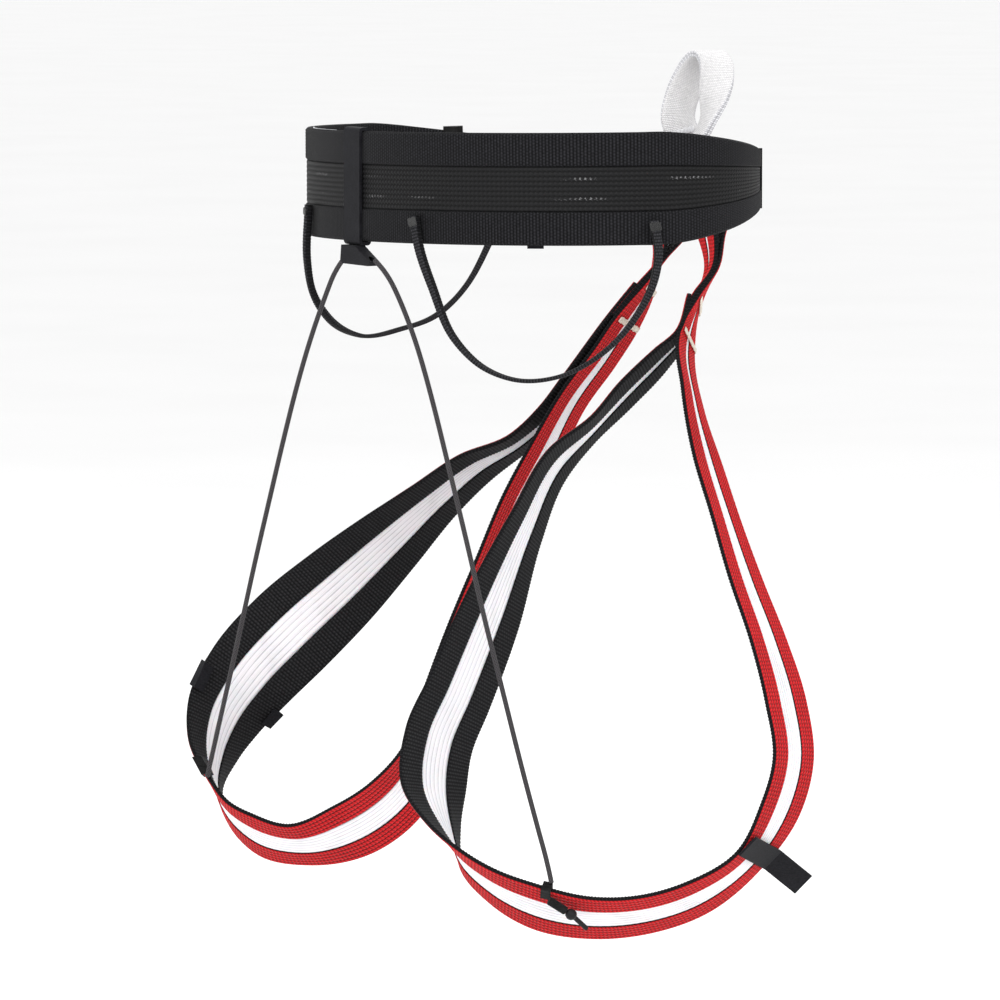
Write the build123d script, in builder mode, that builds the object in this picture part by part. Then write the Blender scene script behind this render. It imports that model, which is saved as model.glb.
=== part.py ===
"""Lightweight alpine climbing harness, millimetres, +Z up.

The origin is the middle of the waist opening. The wearer faces -Y, so +X is the wearer's left.
Every strap is woven webbing that splits into two load bands with a thin mesh between them.
A strap is a list of stations: the middle of the strap, the direction across it (its lean, in
tenths), and how far it has spread from its narrow to its wide width, in per cent.
"""

from build123d import *
from math import cos, pi, radians, sin, tan
import os

# ---- driving dimensions -------------------------------------------------------------------
WAIST_HALF_WIDTH = 144.0  # plan ellipse of the waistbelt, left to right
WAIST_HALF_DEPTH = 96.0  # plan ellipse of the waistbelt, front to back
BELT_HEIGHT = 53.0
BELT_END_HEIGHT = 24.0  # where the belt ends at the front
BELT_BAND_HEIGHT = 16.0  # each load band at full belt height
BELT_THICKNESS = 2.6
BELT_MESH_THICKNESS = 1.6
BELT_TAPER_START = -4  # degrees round from the hip, towards the front
BELT_FRONT_ANGLE = 51  # degrees round from the hip where the belt ends
BELT_END_RISE = 2.0  # the narrow ends sit this much above the belt's middle
BELT_STEP = 8  # degrees between the belt's stations
BELT_ROLL = 0.022  # the right hip hangs a little higher than the left
END_COVER_SHARE = 0.62  # of the belt's last span that each end cover wraps
COVER_THICKNESS = 0.9

LEG_NARROW = 24.0  # leg strap, closed
LEG_WIDE = 50.0  # leg strap, opened out behind the thigh
LEG_BAND_NARROW = 10.3
LEG_BAND_WIDE = 16.0
LEG_THICKNESS = 1.8
LEG_MESH_THICKNESS = 1.0
LAYER_GAP = 0.1  # between layers of webbing that are sewn together

BAR_RADIUS = 4.0  # rolled webbing that carries the belay loop and the leg straps
BAR_HALF_LENGTH = 37.0
BAR_Y, BAR_Z = -94.0, -10.0
BAR_CLEARANCE = 0.9
EYE_CENTRE_X = 21.5  # middle of each leg strap on the bar
EYE_WIDTH = 22.0

BELAY_WIDTH = 17.0
BELAY_THICKNESS = 4.0
BELAY_BUTT_SHARE = 0.95  # its two ends butt together, a hair apart

STRAP_WIDTH = 18.0  # waist strap
STRAP_THICKNESS = 1.6
STRAP_Y, STRAP_Z = -80.0, 5.0
BUCKLE_X = 56.0
BUCKLE_LENGTH = 30.0
BUCKLE_THICKNESS = 2.0
BUCKLE_RIM = 3.2
BUCKLE_BAR = 5.0

ANCHOR_THICKNESS = 1.2  # webbing that holds the buckle to the belt's end
KEEPER_ANGLE = -20  # elastic keeper for the strap's tail
KEEPER_LENGTH = 10.0
KEEPER_THICKNESS = 0.9
SIZE_TAB_ANGLE = 140
SIZE_TAB_WIDTH = 8.0
SIZE_TAB_DROP = 1.5  # how far it shows below the belt

LUG_WIDTH = 8.0
LUG_THICKNESS = 2.4

GEAR_WIDTH = 4.5  # where it is sewn on
GEAR_WIDTH_LOWEST = 2.0  # the tape is folded narrow at its lowest point
GEAR_THICKNESS = 3.0
GEAR_TACK_LENGTH = 5.0
GEAR_ENDS_Z = -12.0
GEAR_CLEARANCE = 1.2  # from the belt's outer face

RISER_WIDTH = 16.0
RISER_THICKNESS = 1.6
RISER_CLEARANCE = 0.3
POCKET_WIDTH = 30.0
POCKET_SHIFT = -7.0  # the pocket is pulled to the right of the belt's centre
POCKET_HEIGHT = 9.0
POCKET_THICKNESS = 5.6
CORD_DIAMETER = 2.4
CORD_FIT = 0.3  # radial room for the cord in the pocket and the tabs

TAG_WIDTH = 12.0
TAG_THICKNESS = 1.2
TAG_LENGTH = 24.0  # how far it stands out past the strap
TAG_SHIFT, TAG_BACK = 2.0, 6.0  # from the strap's station at its lowest corner
TAG_RISE = 12.0
CLIP_ROOM = 0.7
LABEL_LENGTH = 12.0
LABEL_THICKNESS = 1.0
LABEL_LIP = 5.0
TACK_LENGTH = 3.5
TACK_THICKNESS = 0.8

SLEEVE_RADIUS = 2.1  # elastic sleeve that holds the cord's doubled end
SLEEVE_LENGTH = 10.0
SLEEVE_SLOPE = 26  # degrees that it falls along the strap
KNOT_RADIUS = 2.8
TAIL_LENGTH = 9.0
TAB_REACH = 8.0  # how far the cord's tab is folded down over the strap's edge
TAB_THICKNESS = 0.9

os.makedirs("parts", exist_ok=True)


def finish(builder, name):
    """Label a finished piece, write it and report its size."""
    builder.part.label = name
    export_step(builder.part, f"parts/{name}.step")
    solids = builder.part.solids()
    print(f"{name}: {len(solids)} solid(s), {builder.part.volume / 1000:.2f} cm3")


# ---- webbing ------------------------------------------------------------------------------
class Station:
    """One place along a strap: its middle, the direction across it, and its width."""

    def __init__(self, middle, lean, width=0.0):
        self.middle = Vector(*middle)
        self.lean = Vector(*lean).normalized()
        self.width = width
        self.along = Vector(0, 0, 1)

    def plane(self, across=0.0, outward=0.0):
        """The section plane here, moved across the strap and out of its outer face."""
        lean = (self.lean - self.along * self.lean.dot(self.along)).normalized()
        outer = lean.cross(self.along)
        origin = self.middle + lean * across + outer * outward
        return Plane(origin=origin, x_dir=lean, z_dir=self.along)

    def outer(self):
        return self.plane().y_dir * -1

    def moved(self, outward):
        """The same station in a layer further out (positive) or further in."""
        other = Station(tuple(self.plane(outward=outward).origin), tuple(self.lean), self.width)
        other.along = self.along
        return other


def between(first, second, share):
    """The section that a ruled loft has part of the way from one station to the next."""
    a, b = first.plane(), second.plane()
    middle = a.origin + (b.origin - a.origin) * share
    lean = a.x_dir + (b.x_dir - a.x_dir) * share
    depth = a.y_dir + (b.y_dir - a.y_dir) * share
    made = Station(tuple(middle), tuple(lean), first.width + (second.width - first.width) * share)
    made.along = lean.cross(depth).normalized()
    return made


def aim(stations, closed=False):
    """Give each station the direction in which the strap runs there."""
    count = len(stations)
    for i, station in enumerate(stations):
        before = stations[i - 1] if closed or i > 0 else station
        after = stations[(i + 1) % count] if closed or i + 1 < count else station
        station.along = (after.middle - before.middle).normalized()
    return stations


def strap_length(stations):
    pairs = zip(stations, stations[1:])
    return sum((b.middle - a.middle).length for a, b in pairs)


def webbing(stations, thickness, strip=None, outward=0.0):
    """Loft a flat strip along the stations. strip gives (offset across, width) at a station."""
    strip = strip or (lambda s: (0.0, s.width))
    with BuildPart() as piece:
        for station in stations:
            offset, width = strip(station)
            with BuildSketch(station.plane(across=offset, outward=outward)):
                Rectangle(width, thickness)
        loft(ruled=True, clean=False)
    return piece


def block(ends, across, width, depth, outward=0.0):
    """A straight-sided block that follows a strap between two sections of one span."""
    with BuildPart() as piece:
        for end in ends:
            with BuildSketch(end.plane(across=across, outward=outward)):
                Rectangle(width, depth)
        loft(ruled=True, clean=False)
    return piece


# ---- waistbelt ----------------------------------------------------------------------------
def waist_point(angle, outward=0.0):
    """A point of the plan ellipse, with 0 at the left hip, 90 at the back, 180 at the right hip."""
    a, b = WAIST_HALF_WIDTH, WAIST_HALF_DEPTH
    x, y = a * cos(radians(angle)), b * sin(radians(angle))
    normal = Vector(x / a**2, y / b**2, 0).normalized()
    return Vector(x, y, 0) + normal * outward


def belt_taper(angle):
    """0 at full height, 1 at the belt's ends."""
    past_hip = max(-angle, angle - 180)
    share = (past_hip - BELT_TAPER_START) / (BELT_FRONT_ANGLE - BELT_TAPER_START)
    return min(max(share, 0.0), 1.0)


def belt_station(angle, outward=0.0):
    taper = belt_taper(angle) ** 1.15
    middle = waist_point(angle, outward)
    middle += Vector(0, 0, BELT_END_RISE * taper - BELT_ROLL * middle.X)
    height = BELT_HEIGHT + (BELT_END_HEIGHT - BELT_HEIGHT) * taper
    return Station(tuple(middle), (0, 0, 1), height)


def belt_run(first, last, outward=0.0):
    steps = max(round(abs(last - first) / BELT_STEP), 2)
    angles = [first + (last - first) * i / steps for i in range(steps + 1)]
    return aim([belt_station(angle, outward) for angle in angles])


def belt_band(side):
    share = BELT_BAND_HEIGHT / BELT_HEIGHT
    return lambda s: (side * s.width * (1 - share) / 2, s.width * share)


def belt_mesh(s):
    return 0.0, s.width * (1 - 2 * BELT_BAND_HEIGHT / BELT_HEIGHT)


FIRST_ANGLE, LAST_ANGLE = -BELT_FRONT_ANGLE, 180 + BELT_FRONT_ANGLE
belt = belt_run(FIRST_ANGLE, LAST_ANGLE)
print(f"waistbelt ribbon {strap_length(belt):.0f} mm")
finish(webbing(belt, BELT_THICKNESS, belt_band(1)), "waistbelt_upper_band")
finish(webbing(belt, BELT_THICKNESS, belt_band(-1)), "waistbelt_lower_band")
finish(webbing(belt, BELT_MESH_THICKNESS, belt_mesh), "waistbelt_mesh_panel")

for word, end, inner in (("left", belt[0], belt[1]), ("right", belt[-1], belt[-2])):
    gap = inner.middle - end.middle
    outward_end = Station(tuple(end.middle - gap.normalized() * COVER_THICKNESS), (0, 0, 1), end.width)
    inward_end = Station(tuple(end.middle + gap * END_COVER_SHARE), (0, 0, 1),
                         end.width + (inner.width - end.width) * END_COVER_SHARE)
    room = 2 * COVER_THICKNESS + 2 * LAYER_GAP
    with BuildPart() as end_cover:
        add(webbing(aim([outward_end, inward_end]), BELT_THICKNESS + room, lambda s: (0.0, s.width + room)))
        add(webbing([end, inner], BELT_THICKNESS + 2 * LAYER_GAP,
                    lambda s: (0.0, s.width + 2 * LAYER_GAP)), mode=Mode.SUBTRACT)
    finish(end_cover, f"belt_end_cover_{word}")

CARE_LABEL_ANGLES = (48, 78)
label_run = belt_run(*CARE_LABEL_ANGLES, outward=-(BELT_THICKNESS / 2 + 1.0))
finish(webbing(label_run, 0.8, lambda s: (1.5, s.width - 3)), "care_label")

# ---- tie-in bar and its lugs --------------------------------------------------------------
with BuildPart() as tie_in_bar:
    with BuildSketch(Plane.YZ.offset(-BAR_HALF_LENGTH)):
        with Locations((BAR_Y, BAR_Z)):
            Circle(BAR_RADIUS)
    extrude(amount=2 * BAR_HALF_LENGTH)
    fillet(tie_in_bar.edges().filter_by(GeomType.CIRCLE), 1.2)
finish(tie_in_bar, "tie_in_bar")


def lug_stations(side):
    """From the bar's end, outward and back, to the inner face of the belt's end."""
    anchor_angle = 180 + 40 if side < 0 else -40
    inside = -(BELT_THICKNESS / 2 + LUG_THICKNESS / 2 + COVER_THICKNESS + 0.5)
    anchor = waist_point(anchor_angle, inside)
    belt_end = waist_point(anchor_angle - side * 10, inside)
    bar_end = BAR_HALF_LENGTH - 1
    points = [
        (side * bar_end, BAR_Y, BAR_Z),
        (side * (bar_end + 11), BAR_Y + 1, BAR_Z),
        (side * (bar_end + 28), BAR_Y + 5.0, BAR_Z),
        (belt_end.X, belt_end.Y, BAR_Z),
        (anchor.X, anchor.Y, BAR_Z),
    ]
    return aim([Station(p, (0, 0, 1), LUG_WIDTH) for p in points])


for side, word in ((1, "left"), (-1, "right")):
    with BuildPart() as lug:
        add(webbing(lug_stations(side), LUG_THICKNESS))
        add(tie_in_bar, mode=Mode.SUBTRACT)
    finish(lug, f"tie_in_lug_{word}")

# ---- waist strap, buckle, anchor and keeper -----------------------------------------------
strap_inside = -(BELT_THICKNESS / 2 + STRAP_THICKNESS / 2 + COVER_THICKNESS + 0.5)
strap_outside = BELT_THICKNESS / 2 + COVER_THICKNESS + STRAP_THICKNESS / 2 + 0.4
rise = BUCKLE_THICKNESS / 2 + STRAP_THICKNESS / 2 + 0.4  # over or under the buckle's bars
half_opening = BUCKLE_LENGTH / 2 - BUCKLE_RIM
rim_x = BUCKLE_X + BUCKLE_LENGTH / 2 - BUCKLE_RIM / 2
over_rim = rise + ANCHOR_THICKNESS + 1.0
TAIL_ANGLES = (-54, -46, -38, -30, -23, -17)
sewn = [waist_point(angle, strap_inside) for angle in (180 + 34, 180 + 43)]
tail = [waist_point(angle, strap_outside) for angle in TAIL_ANGLES]
strap_path = [(p.X, p.Y) for p in sewn]
strap_path += [
    (-66, STRAP_Y),
    (-20, STRAP_Y),
    (20, STRAP_Y),
    (BUCKLE_X - BUCKLE_LENGTH / 2 - 2, STRAP_Y - rise),
    (BUCKLE_X - half_opening, STRAP_Y - rise),
    (BUCKLE_X - BUCKLE_BAR / 2, STRAP_Y + rise),
    (BUCKLE_X + BUCKLE_BAR / 2, STRAP_Y + rise),
    (rim_x - 4.6, STRAP_Y - over_rim + 1),
    (rim_x, STRAP_Y - over_rim),
    (rim_x + 7, STRAP_Y - over_rim + 0.5),
]
strap_path += [(p.X, p.Y) for p in tail]
waist_strap = aim([Station((x, y, STRAP_Z), (0, 0, 1), STRAP_WIDTH) for x, y in strap_path])
finish(webbing(waist_strap, STRAP_THICKNESS), "waist_strap")

buckle_height = STRAP_WIDTH + 2 * BUCKLE_RIM + 1
slot_length = half_opening - BUCKLE_BAR / 2
with BuildPart() as buckle:
    with BuildSketch(Plane.XZ.offset(-STRAP_Y - BUCKLE_THICKNESS / 2)):
        with Locations((BUCKLE_X, STRAP_Z)):
            RectangleRounded(BUCKLE_LENGTH, buckle_height, BUCKLE_RIM)
            with GridLocations(half_opening + BUCKLE_BAR / 2, 1, 2, 1):
                RectangleRounded(slot_length, STRAP_WIDTH + 1, 1.0, mode=Mode.SUBTRACT)
    extrude(amount=BUCKLE_THICKNESS)
    fillet(buckle.edges().filter_by(Axis.Y, reverse=True), 0.5)
finish(buckle, "waist_buckle")

wrap = BUCKLE_THICKNESS / 2 + ANCHOR_THICKNESS / 2 + 0.5
anchor_inside = -(BELT_THICKNESS / 2 + ANCHOR_THICKNESS / 2 + COVER_THICKNESS + 0.5)
anchor_points = [waist_point(angle, anchor_inside) for angle in (-36, -43)]
anchor_path = [(p.X, p.Y) for p in anchor_points]
anchor_path.append((rim_x + 8, STRAP_Y + wrap))
for angle in (90, 135, 180, 225, 270):
    anchor_path.append((rim_x - BUCKLE_RIM / 2 + wrap * cos(radians(angle)),
                        STRAP_Y + wrap * sin(radians(angle))))
anchor_path += [
    (rim_x + BUCKLE_RIM / 2 + 0.8, STRAP_Y - wrap),
    (rim_x + 8, STRAP_Y + wrap - ANCHOR_THICKNESS - 0.2),
    (rim_x + 12, STRAP_Y + wrap - ANCHOR_THICKNESS - 0.2),
]
anchor = aim([Station((x, y, STRAP_Z), (0, 0, 1), STRAP_WIDTH - 1) for x, y in anchor_path])
finish(webbing(anchor, ANCHOR_THICKNESS), "buckle_anchor")

keeper_station = belt_station(KEEPER_ANGLE)
aim_at = belt_run(KEEPER_ANGLE - 2, KEEPER_ANGLE + 2)
keeper_station.along = (aim_at[-1].middle - aim_at[0].middle).normalized()
keeper_height = keeper_station.width + 3.0
keeper_outside = strap_outside + STRAP_THICKNESS / 2 + 0.3
keeper_inside = BELT_THICKNESS / 2 + 0.6
keeper_room = keeper_outside + keeper_inside
keeper_shift = (keeper_outside - keeper_inside) / 2
with BuildPart() as keeper:
    with BuildSketch(keeper_station.plane(outward=-keeper_shift)):
        Rectangle(keeper_height + 2 * KEEPER_THICKNESS, keeper_room + 2 * KEEPER_THICKNESS)
        Rectangle(keeper_height, keeper_room, mode=Mode.SUBTRACT)
    extrude(amount=KEEPER_LENGTH / 2, both=True)
finish(keeper, "strap_keeper")

# ---- belay loop ---------------------------------------------------------------------------
# Two thick layers of webbing, closed round the bar. Above the bar its two legs twist, so that
# the top faces the wearer's side. (x, y and height from the bar's axis), turn in degrees.
BELAY_FRONT_LEG = [
    ((2.5, -5, 14), 15),
    ((7, -0.5, 26), 42),
    ((10, 3.5, 38), 62),
    ((8.5, 1.5, 51), 72),
    ((6, -1.4, 60), 79),
    ((3.4, -3.3, 65.5), 83),
    ((0.3, -4.7, 69), 85),
]
BELAY_REAR_LEG = [
    ((-3.2, -5.6, 70.4), 85),
    ((-6.6, -6.1, 69.4), 82),
    ((-9.5, -6.3, 66.4), 75),
    ((-12, -5.6, 60.5), 58),
    ((-13.5, -3.5, 52), 32),
    ((-13, 0.5, 37), -12),
    ((-8.5, 5.5, 24), -14),
    ((-3, 7.2, 13), -6),
]
bight = BAR_RADIUS + BAR_CLEARANCE + BELAY_THICKNESS / 2


def belay_station(place, turn):
    x, y, height = place
    lean = (-cos(radians(turn)), -sin(radians(turn)), 0)
    return Station((x, BAR_Y + y, BAR_Z + height), lean, BELAY_WIDTH)


under_bar = [((0, bight * cos(radians(a)), -bight * sin(radians(a))), 0) for a in range(0, 181, 30)]
belay_rows = under_bar + BELAY_FRONT_LEG + BELAY_REAR_LEG
belay_stations = aim([belay_station(*row) for row in belay_rows], closed=True)
butt_end = between(belay_stations[-1], belay_stations[0], BELAY_BUTT_SHARE)
finish(webbing(belay_stations + [butt_end], BELAY_THICKNESS), "belay_loop")
BELAY_TACK_AT = len(under_bar) + 1

with BuildPart() as belay_tacks:
    for first in (BELAY_TACK_AT, BELAY_TACK_AT + 7):
        station = between(belay_stations[first], belay_stations[first + 1], 0.5)
        shift = BELAY_THICKNESS / 2 + TACK_THICKNESS / 2 + 0.9
        with BuildSketch(station.plane(outward=shift)):
            Rectangle(BELAY_WIDTH - 4, TACK_THICKNESS)
        extrude(amount=TACK_LENGTH / 2, both=True)
finish(belay_tacks, "belay_loop_bar_tacks")

# ---- gear loops ---------------------------------------------------------------------------
# Each is a stiff strip that hangs in one upright plane between two places on the belt's outside.
GEAR_RIGHT = [(0, 0), (3, -13), (12, -34), (24, -57), (40, -71), (55, -76), (75, -74), (96, -62),
              (112, -44), (121, -26), (123, -14), (121, 0)]
GEAR_LEFT = [(0, 0), (2, -27), (8, -42), (24, -57), (50, -67), (86, -66), (116, -60), (138, -47),
             (159, -24), (168, -12), (171, 0)]
gear_outward = BELT_THICKNESS / 2 + GEAR_THICKNESS / 2 + GEAR_CLEARANCE


def gear_loop(angles, outline, bow):
    """Stations through an outline of (distance along the belt, height) between two places."""
    start, end = [waist_point(a, gear_outward) + Vector(0, 0, GEAR_ENDS_Z) for a in angles]
    length = outline[-1][0]
    deepest = min(z for _, z in outline)
    stations = []
    for u, z in outline:
        angle = angles[0] + (angles[1] - angles[0]) * u / length
        out = waist_point(angle, 1) - waist_point(angle)
        middle = start + (end - start) * (u / length) + Vector(0, 0, z) + out * (bow * z / deepest)
        width = GEAR_WIDTH + (GEAR_WIDTH_LOWEST - GEAR_WIDTH) * z / deepest
        stations.append(Station(tuple(middle), tuple(out), width))
    for station in aim(stations):
        station.lean = station.along.cross(station.lean).normalized()
    print(f"gear loop {strap_length(stations):.0f} mm, ends {start}, {end}")
    return stations


for word, angles, outline, bow in (
    ("right", (111, 170.5), GEAR_RIGHT, 8.0),
    ("left", (67, -33), GEAR_LEFT, 5.0),
):
    loop = gear_loop(angles, outline, bow)
    finish(webbing(loop, GEAR_THICKNESS), f"gear_loop_{word}")
    with BuildPart() as gear_tacks:
        for first, second in ((loop[0], loop[1]), (loop[-1], loop[-2])):
            share = GEAR_TACK_LENGTH / (second.middle - first.middle).length
            ends = [between(first, second, 0.05), between(first, second, min(share, 0.9))]
            add(block(ends, 0, GEAR_WIDTH + 1, 0.8, GEAR_THICKNESS / 2 + 0.5))
    finish(gear_tacks, f"gear_loop_tacks_{word}")

# A small tab that is sewn inside the belt and shows below its lower edge.
tab_run = belt_run(SIZE_TAB_ANGLE - 2, SIZE_TAB_ANGLE + 2, outward=-(BELT_THICKNESS / 2 + 1.1))
tab_height = SIZE_TAB_DROP + BELT_BAND_HEIGHT * 0.6
with BuildPart() as size_tab:
    with BuildSketch(tab_run[1].plane(across=-BELT_HEIGHT / 2 - SIZE_TAB_DROP + tab_height / 2)):
        Rectangle(tab_height, 1.0)
    extrude(amount=SIZE_TAB_WIDTH / 2, both=True)
finish(size_tab, "size_tab")

# ---- riser strap and pocket ---------------------------------------------------------------
back = waist_point(90).Y
riser_inside = BELT_THICKNESS / 2 + RISER_CLEARANCE
riser_room_height = BELT_HEIGHT + 2 * RISER_CLEARANCE
with BuildPart() as riser_strap:
    with BuildSketch(Plane.YZ.offset(-RISER_WIDTH / 2)):
        with Locations((back, 0)):
            RectangleRounded(2 * (riser_inside + RISER_THICKNESS), riser_room_height + 2 * RISER_THICKNESS, 2)
            Rectangle(2 * riser_inside, riser_room_height, mode=Mode.SUBTRACT)
    extrude(amount=RISER_WIDTH)
finish(riser_strap, "riser_strap")

cord_hole = CORD_DIAMETER / 2 + CORD_FIT
pocket_top = -riser_room_height / 2 - RISER_THICKNESS - 0.1
pocket_y = back + riser_inside + RISER_THICKNESS / 2
cord_z = pocket_top - POCKET_HEIGHT + cord_hole + 1.4
with BuildPart() as riser_pocket:
    with BuildSketch(Plane.XZ.offset(-pocket_y - POCKET_THICKNESS / 2)):
        with BuildLine():
            Polyline(
                (-RISER_WIDTH / 2 + 1, pocket_top),
                (RISER_WIDTH / 2 - 1, pocket_top),
                (POCKET_SHIFT + POCKET_WIDTH / 2, pocket_top - POCKET_HEIGHT + 2),
                (POCKET_SHIFT + POCKET_WIDTH / 2 - 2, pocket_top - POCKET_HEIGHT),
                (POCKET_SHIFT - POCKET_WIDTH / 2 + 2, pocket_top - POCKET_HEIGHT),
                (POCKET_SHIFT - POCKET_WIDTH / 2, pocket_top - POCKET_HEIGHT + 2),
                close=True,
            )
        make_face()
    extrude(amount=POCKET_THICKNESS)
    with BuildSketch(Plane.YZ.offset(POCKET_SHIFT)):
        with Locations((pocket_y, cord_z)):
            Circle(cord_hole)
    extrude(amount=POCKET_WIDTH, both=True, mode=Mode.SUBTRACT)
finish(riser_pocket, "riser_pocket")

# ---- leg loops ----------------------------------------------------------------------------
# Each strap starts behind its bar tacks, goes up and over the bar, comes down in front and
# round the thigh, and ends in a third layer behind the same bar tacks.
# (x, y, z), (lean in tenths), spread in per cent
FRONT_RIGHT = [
    ((-20, -96, -27), (-9, 3, 0), 0),
    ((-24.2, -90.2, -46), (-9, 4, 1), 0),
    ((-26, -80, -62), (-8, 6, 1), 0),
    ((-31, -71, -79), (-7, 7, 1), 0),
]
ROUND_RIGHT = [
    ((-55, -60, -106), (-7, 7, 0), 4),
    ((-76, -56, -134), (-6, 8, 0), 12),
    ((-95, -55, -161), (-6, 8, 0), 21),
    ((-112, -56, -189), (-6, 8, -1), 33),
    ((-126, -60, -217), (-5, 8, 0), 42),
    ((-137, -63, -245), (-5, 9, 0), 50),
    ((-144, -63, -273), (-5, 9, 1), 56),
    ((-143, -56, -297), (-5, 9, 2), 58),
    ((-136, -44, -320), (-6, 7, 3), 62),
    ((-123, -22, -339), (-6, 6, 5), 62),
    ((-107, -1, -348), (-7, 5, 6), 65),
    ((-92, 19, -350), (-7, 4, 6), 69),
    ((-76, 41, -345), (-8, 3, 6), 77),
    ((-61, 56, -336), (-9, 3, 4), 85),
    ((-49, 66, -324), (-9, 4, 2), 92),
    ((-41, 71, -308), (-7, 7, 1), 98),
    ((-34, 73, -291), (-4, 9, 1), 100),
    ((-30, 68, -268), (-3, 9, 1), 100),
    ((-30, 57, -246), (-3, 9, 3), 94),
    ((-29.6, 39.2, -209), (-3, 9, 3), 77),
    ((-28.1, 18.4, -167), (-5, 8, 2), 54),
    ((-22.7, -2, -138), (-6, 8, 3), 30),
    ((-21.7, -23, -121.5), (-7, 6, 4), 12),
    ((-21.4, -42, -105), (-5, 6, 4), 2),
    ((-25, -60, -88), (-6, 7, 4), 0),
]
FRONT_LEFT = [
    ((21.5, -97.5, -26), (-10, 0, 0), 0),
    ((22, -88, -43), (-9, 4, 1), 0),
    ((22.5, -80.6, -57), (-7, 6, 3), 0),
    ((26.5, -70.6, -74), (-5, 8, 4), 0),
]
ROUND_LEFT = [
    ((31.5, -60.6, -91), (-5, 8, 4), 6),
    ((37, -46, -112), (-5, 8, 3), 15),
    ((39, -30, -140), (-5, 9, 3), 27),
    ((39, -15, -165), (-5, 9, 2), 38),
    ((40, -2, -194), (-5, 9, 2), 46),
    ((42, 12, -225), (-5, 9, 1), 54),
    ((46, 23, -256), (-5, 9, 1), 58),
    ((52, 30, -284), (-5, 8, 3), 62),
    ((62, 40, -309), (-4, 5, 7), 65),
    ((79, 56, -327), (-5, 4, 8), 65),
    ((98, 77, -336), (-7, 4, 6), 69),
    ((115, 93, -332), (-8, 3, 5), 73),
    ((127, 102, -322), (-9, 4, 3), 79),
    ((135, 106, -308), (-8, 5, 1), 85),
    ((140, 104, -292), (-5, 8, 2), 92),
    ((141, 98, -275), (-2, 9, 4), 100),
    ((136, 85, -254), (1, 8, 6), 100),
    ((126, 67, -232), (2, 6, 7), 100),
    ((113, 46, -209), (0, 7, 7), 96),
    ((99, 26, -186), (-2, 8, 6), 81),
    ((83, 8, -164), (-4, 8, 5), 58),
    ((68, -7, -147), (-5, 7, 5), 35),
    ((53, -24, -134), (-7, 7, 4), 19),
    ((45.5, -37, -121), (-5, 8, 4), 4),
    ((40, -47.5, -105), (-5, 8, 4), 0),
]
BAND_CURVE = 1.5  # the bands widen late, after the mesh has opened


def leg_stations(rows):
    return [Station(m, lean, LEG_NARROW + (LEG_WIDE - LEG_NARROW) * spread / 100)
            for m, lean, spread in rows]


def leg_strap(front_rows, round_rows):
    """All the stations of a leg strap, from its start behind the tacks to its end there."""
    side = 1 if front_rows[0][0][0] > 0 else -1
    front = aim(leg_stations(front_rows))
    layer = LEG_THICKNESS + LAYER_GAP
    rear = [station.moved(-layer) for station in reversed(front[1:])]
    radius = BAR_RADIUS + BAR_CLEARANCE + LEG_THICKNESS / 2
    arc = []
    for angle in (0, 45, 90, 135, 180):
        y = BAR_Y + radius * cos(radians(angle))
        z = BAR_Z + radius * sin(radians(angle))
        arc.append(Station((side * EYE_CENTRE_X, y, z), (-1, 0, 0), EYE_WIDTH))
    end = [station.moved(-2 * layer) for station in reversed(front[2:])]
    return aim(rear + arc + front + leg_stations(round_rows) + end)


def leg_band_width(station):
    spread = max((station.width - LEG_NARROW) / (LEG_WIDE - LEG_NARROW), 0.0)
    full = LEG_BAND_NARROW + (LEG_BAND_WIDE - LEG_BAND_NARROW) * spread**BAND_CURVE
    return full * min(station.width / LEG_NARROW, 1.0)


def leg_band(side):
    return lambda s: (side * (s.width - leg_band_width(s)) / 2, leg_band_width(s))


def leg_mesh(s):
    return 0.0, s.width - 2 * leg_band_width(s)


def clip_round(ends, name, lip, thickness):
    """A band folded over the strap's outer face, with its ends turned in behind the strap."""
    inner_width = ends[0].width + 2 * CLIP_ROOM
    inner_depth = LEG_THICKNESS + 2 * CLIP_ROOM
    with BuildPart() as clip:
        add(block(ends, 0, inner_width + 2 * thickness, inner_depth + 2 * thickness))
        add(block(ends, 0, inner_width, inner_depth), mode=Mode.SUBTRACT)
        add(block(ends, 0, inner_width - 2 * lip, 4 * thickness, -inner_depth / 2 - thickness),
            mode=Mode.SUBTRACT)
    finish(clip, name)


def edge_clip(ends, name, reach, thickness):
    """A short band folded over the strap's upper edge."""
    inner_depth = LEG_THICKNESS + 2 * CLIP_ROOM
    middle = ends[0].width / 2 + CLIP_ROOM - reach / 2
    with BuildPart() as clip:
        add(block(ends, middle + thickness / 2, reach + thickness, inner_depth + 2 * thickness))
        add(block(ends, middle - thickness, reach + 2 * thickness, inner_depth), mode=Mode.SUBTRACT)
    finish(clip, name)


legs = {}
for word, front_rows, round_rows in (
    ("right", FRONT_RIGHT, ROUND_RIGHT),
    ("left", FRONT_LEFT, ROUND_LEFT),
):
    stations = leg_strap(front_rows, round_rows)
    legs[word] = stations
    print(f"leg strap {word}: {strap_length(stations):.0f} mm of webbing")
    finish(webbing(stations, LEG_THICKNESS, leg_band(1)), f"leg_{word}_outer_band")
    finish(webbing(stations, LEG_THICKNESS, leg_band(-1)), f"leg_{word}_inner_band")
    finish(webbing(stations, LEG_MESH_THICKNESS, leg_mesh), f"leg_{word}_mesh")
    first_front = len(front_rows) - 1 + 5
    with BuildPart() as leg_tacks:
        for station in stations[first_front + 2:first_front + 4]:
            shift = LEG_THICKNESS / 2 + TACK_THICKNESS / 2 + 0.8
            with BuildSketch(station.plane(outward=shift)):
                Rectangle(LEG_NARROW - 3, TACK_THICKNESS)
            extrude(amount=TACK_LENGTH / 2, both=True)
    finish(leg_tacks, f"leg_{word}_bar_tacks")


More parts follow.
